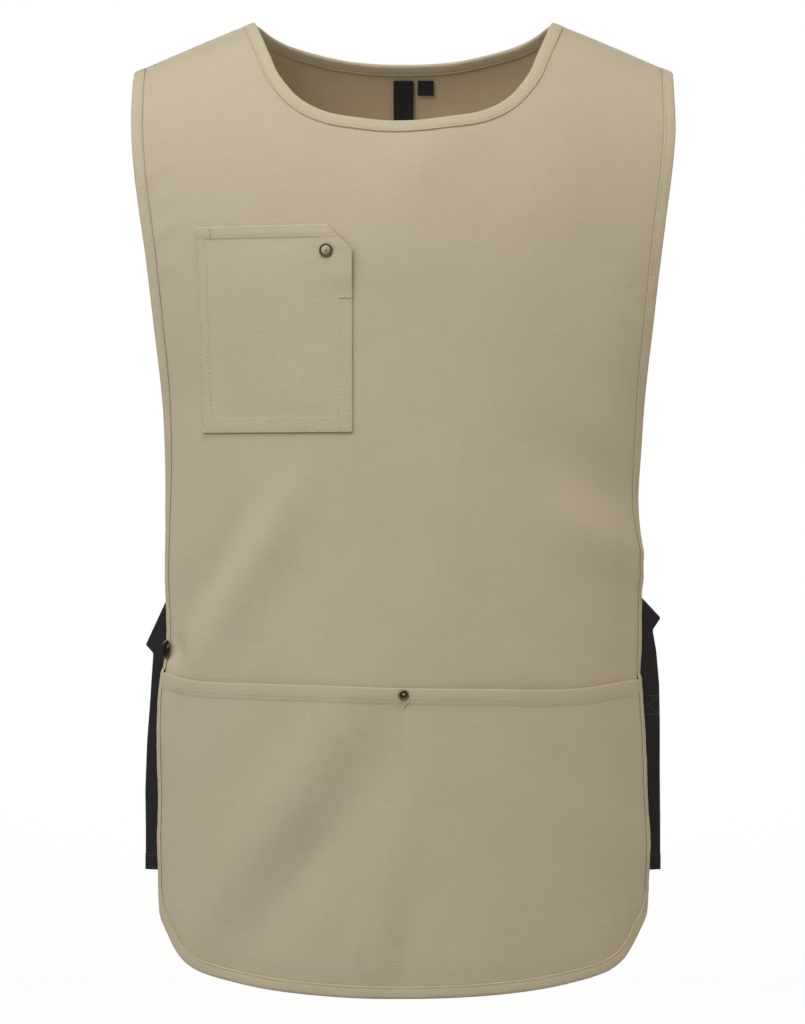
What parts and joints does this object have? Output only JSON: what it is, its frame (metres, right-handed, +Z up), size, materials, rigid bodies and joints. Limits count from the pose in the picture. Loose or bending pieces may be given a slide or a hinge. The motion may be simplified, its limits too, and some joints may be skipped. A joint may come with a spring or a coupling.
{
  "type": "cobbler_apron",
  "caption": "Khaki canvas cobbler apron, bound edges, wide front pouch, chest pocket with one cut corner, brass rivets and black webbing side straps in slide buckles",
  "frame": {"origin": "midway between the neck points of the two shoulder seams", "axes": "+X towards the wearer's left, -Y ahead of the wearer, +Z up"},
  "size_m": [0.4301, 0.2469, 0.7648],
  "materials": {
    "canvas": "plain canvas with a light slub",
    "binding": "folded canvas tape, stitched",
    "webbing": "flat woven tape",
    "buckle_plastic": "moulded",
    "antique_brass": "antiqued, rubbed on the high spots",
    "label": "woven, bare"
  },
  "bodies": {
    "root": {"front_panel": "canvas", "back_panel": "canvas", "front_pouch": "canvas", "chest_pocket": "canvas", "neck_binding": "binding", "front_edge_binding": "binding", "back_edge_binding": "binding", "pouch_rivet": "antique_brass", "pocket_rivet": "antique_brass", "side_snap": "antique_brass", "left_strap_anchor": "webbing", "right_strap_anchor": "webbing", "left_slide_buckle": "buckle_plastic", "right_slide_buckle": "buckle_plastic", "left_side_strap": "webbing", "right_side_strap": "webbing", "neck_label": "label", "size_label": "label"}
  },
  "joints": []
}
